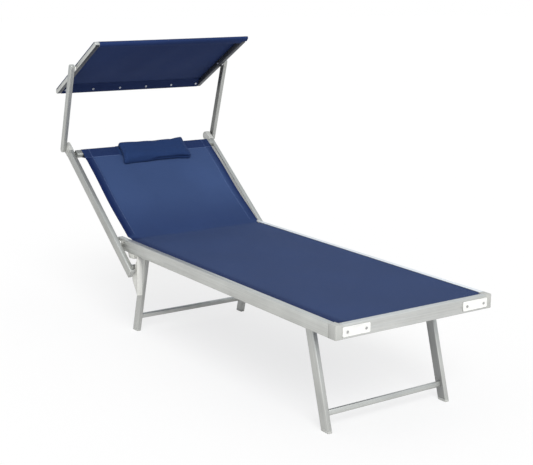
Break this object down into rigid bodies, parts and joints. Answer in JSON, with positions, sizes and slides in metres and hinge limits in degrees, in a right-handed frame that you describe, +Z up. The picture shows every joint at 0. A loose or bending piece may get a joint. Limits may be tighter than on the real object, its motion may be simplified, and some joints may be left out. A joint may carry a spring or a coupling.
{
  "type": "sun lounger with canopy",
  "caption": "Folding sun lounger with a sling seat, a reclining backrest set by notched racks, a hooked head pillow and a tilting sunshade on swinging arms.",
  "frame": {"origin": "middle of the lounger's footprint, on the floor", "axes": "+Z up, +Y along the bed from the foot end to the head end, +X across the bed towards the right side as seen from the foot end"},
  "size_m": [0.745, 1.9014, 1.1534],
  "materials": {
    "frame_aluminium": "satin silver, extruded and lightly brushed along the tube",
    "dark_aluminium": "satin, darker, mostly covered by the fabric sleeves",
    "fastener_steel": "zinc-plated, satin",
    "grey_plastic": "moulded, fine matt grain",
    "white_plastic": "moulded, slight gloss",
    "sling_fabric": "navy blue mesh-woven sling cloth with a fine lighter fleck",
    "pillow_fabric": "navy blue woven cover over a soft filling",
    "canopy_fabric": "dark navy tight plain weave"
  },
  "bodies": {
    "root": {"side_rail_left": "frame_aluminium", "side_rail_right": "frame_aluminium", "foot_rail": "frame_aluminium", "corner_connector_left": "grey_plastic", "corner_connector_right": "grey_plastic", "bumper_plate_left": "white_plastic", "bumper_plate_right": "white_plastic", "bumper_screw_outer_left": "fastener_steel", "bumper_screw_inner_left": "fastener_steel", "bumper_screw_outer_right": "fastener_steel", "bumper_screw_inner_right": "fastener_steel", "front_leg_axle": "fastener_steel", "rear_leg_axle": "fastener_steel", "front_leg_hinge_block_left": "grey_plastic", "front_leg_hinge_block_right": "grey_plastic", "rear_leg_hinge_block_left": "grey_plastic", "rear_leg_hinge_block_right": "grey_plastic", "recline_rack_left": "white_plastic", "recline_rack_right": "white_plastic", "recline_pivot_left": "white_plastic", "recline_pivot_right": "white_plastic", "seat_sling": "sling_fabric"},
    "backrest": {"backrest_tube_left": "frame_aluminium", "backrest_tube_right": "frame_aluminium", "backrest_tube_cap_left": "grey_plastic", "backrest_tube_cap_right": "grey_plastic", "lever_plug_left": "grey_plastic", "lever_plug_right": "grey_plastic", "stop_pin_left": "fastener_steel", "stop_pin_right": "fastener_steel", "backrest_top_bar": "dark_aluminium", "backrest_sling": "sling_fabric", "head_pillow": "pillow_fabric"},
    "front_legs": {"front_leg_left": "frame_aluminium", "front_leg_right": "frame_aluminium", "front_foot_left": "grey_plastic", "front_foot_right": "grey_plastic", "front_leg_crossbar": "frame_aluminium"},
    "rear_legs": {"rear_leg_left": "frame_aluminium", "rear_leg_right": "frame_aluminium", "rear_foot_left": "grey_plastic", "rear_foot_right": "grey_plastic", "rear_leg_crossbar": "frame_aluminium"},
    "canopy_arms": {"canopy_arm_left": "frame_aluminium", "canopy_arm_right": "frame_aluminium", "canopy_arm_hub_left": "grey_plastic", "canopy_arm_hub_right": "grey_plastic", "canopy_tilt_hub_left": "white_plastic", "canopy_tilt_hub_right": "white_plastic"},
    "canopy": {"canopy_side_tube_left": "frame_aluminium", "canopy_side_tube_right": "frame_aluminium", "canopy_front_bar": "dark_aluminium", "canopy_rear_bar": "dark_aluminium", "canopy_fabric": "canopy_fabric", "canopy_snap_1": "fastener_steel", "canopy_snap_2": "fastener_steel", "canopy_snap_3": "fastener_steel", "canopy_snap_4": "fastener_steel", "canopy_snap_5": "fastener_steel", "canopy_snap_6": "fastener_steel"}
  },
  "joints": [
    {"name": "backrest_recline", "type": "hinge", "parent": "root", "child": "backrest", "pos_m": [0, 0.43821, 0.3725], "axis": [1, 0, 0], "range_deg": [-20, 35]},
    {"name": "front_leg_fold", "type": "hinge", "parent": "root", "child": "front_legs", "pos_m": [0, -0.71139, 0.362], "axis": [1, 0, 0], "range_deg": [0, 104]},
    {"name": "rear_leg_fold", "type": "hinge", "parent": "root", "child": "rear_legs", "pos_m": [0, 0.35481, 0.362], "axis": [1, 0, 0], "range_deg": [-104, 0]},
    {"name": "canopy_arm_swing", "type": "hinge", "parent": "backrest", "child": "canopy_arms", "pos_m": [0, 0.85892, 0.69649], "axis": [1, 0, 0], "range_deg": [-75, 45]},
    {"name": "canopy_tilt", "type": "hinge", "parent": "canopy_arms", "child": "canopy", "pos_m": [0, 0.75762, 1.03631], "axis": [1, 0, 0], "range_deg": [-70, 60]}
  ]
}
